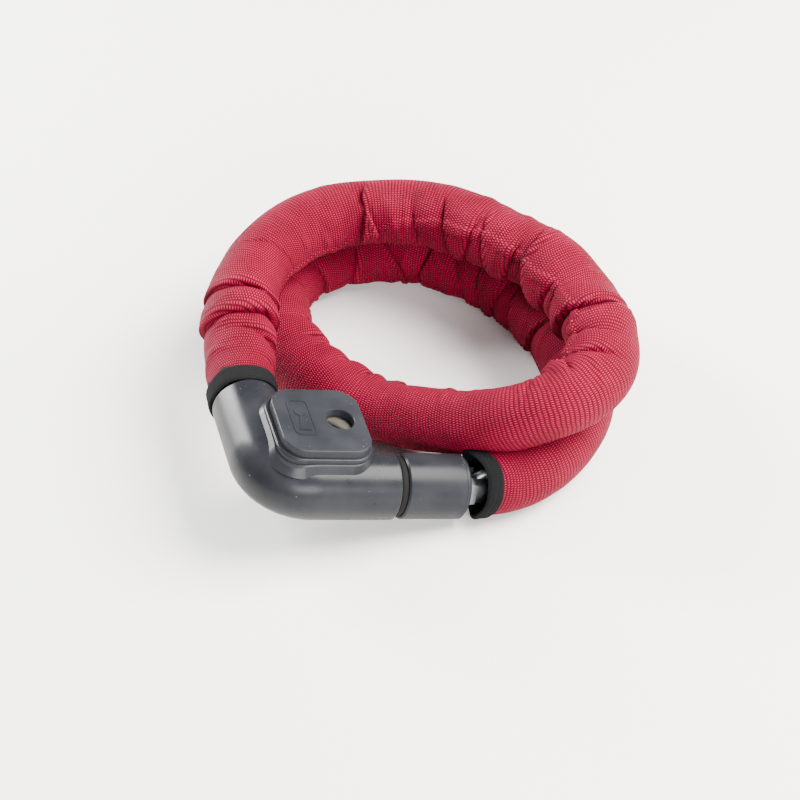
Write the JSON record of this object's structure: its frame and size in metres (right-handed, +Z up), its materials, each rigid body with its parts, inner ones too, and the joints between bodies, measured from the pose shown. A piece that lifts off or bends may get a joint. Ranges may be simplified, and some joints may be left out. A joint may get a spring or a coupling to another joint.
{
  "type": "sleeved chain lock",
  "caption": "Bicycle chain lock: an elbow-shaped key lock and a plug joined by a chain in a red woven sleeve, closed and lying in two turns.",
  "frame": {"origin": "on the surface the lock lies on, under the middle of its bounding box", "axes": "+Z up; +Y away from the lock housing across the coil, the longest extent; +X to the right as seen from the housing's side"},
  "size_m": [0.219, 0.2391, 0.0715],
  "materials": {
    "shell_plastic": "satin black moulded plastic",
    "cover_plastic": "satin dark grey moulded plastic",
    "ferrule_plastic": "satin black",
    "core_metal": "as cast",
    "cylinder_brass": "machined",
    "rotor_metal": "nickel plated",
    "bolt_steel": "ground and plated",
    "neck_steel": "bright machined",
    "pin_steel": "plain",
    "screw_steel": "blackened",
    "chain_steel": "zinc plated",
    "seal_rubber": "matte",
    "sleeve_fabric": "woven textile, red",
    "binding_tape": "ribbed textile tape, black"
  },
  "bodies": {
    "plug": {"ferrule_shell": "ferrule_plastic", "ferrule_core": "neck_steel", "locking_bolt": "bolt_steel", "bolt_pin": "pin_steel", "seal_ring": "seal_rubber", "anchor_pin_plug": "pin_steel", "end_link_plug": "chain_steel", "chain": "chain_steel", "chain_lock_end": "chain_steel", "sleeve_lock_end": "sleeve_fabric", "sleeve_high_turn": "sleeve_fabric", "sleeve_low_turn": "sleeve_fabric", "binding_plug_end": "binding_tape"},
    "housing": {"housing_shell": "shell_plastic", "core_body": "core_metal", "core_base_plate": "core_metal", "cover_plate": "cover_plastic", "cover_screws": "screw_steel", "cylinder_body": "cylinder_brass", "anchor_pin_lock": "pin_steel", "end_link_lock": "chain_steel", "latch_spring": "pin_steel", "binding_lock_end": "binding_tape"},
    "rotor": {"cylinder_rotor": "rotor_metal", "disc_detainers": "cylinder_brass", "sidebar": "pin_steel", "cylinder_cam": "pin_steel", "cam_cross_pin": "pin_steel"},
    "latch": {"latch_slider": "pin_steel"}
  },
  "joints": [
    {"name": "housing_slide", "type": "slide", "parent": "plug", "child": "housing", "axis": [-0.9249, -0.2617, 0.2756], "range_m": [0, 0.04], "deforming": ["sleeve_lock_end", "chain_lock_end"]},
    {"name": "key_turn", "type": "hinge", "parent": "housing", "child": "rotor", "pos_m": [-0.04346, -0.07949, 0.03307], "axis": [-0.2652, -0.0751, -0.9613], "range_deg": [0, 90]},
    {"name": "latch_throw", "type": "slide", "parent": "housing", "child": "latch", "axis": [0.2723, -0.9622, 0], "range_m": [0, 0.0026], "deforming": ["latch_spring"]}
  ],
  "couplings": [
    {"joint": "key_turn", "follows": "latch_throw", "rad_per_m": 604}
  ]
}
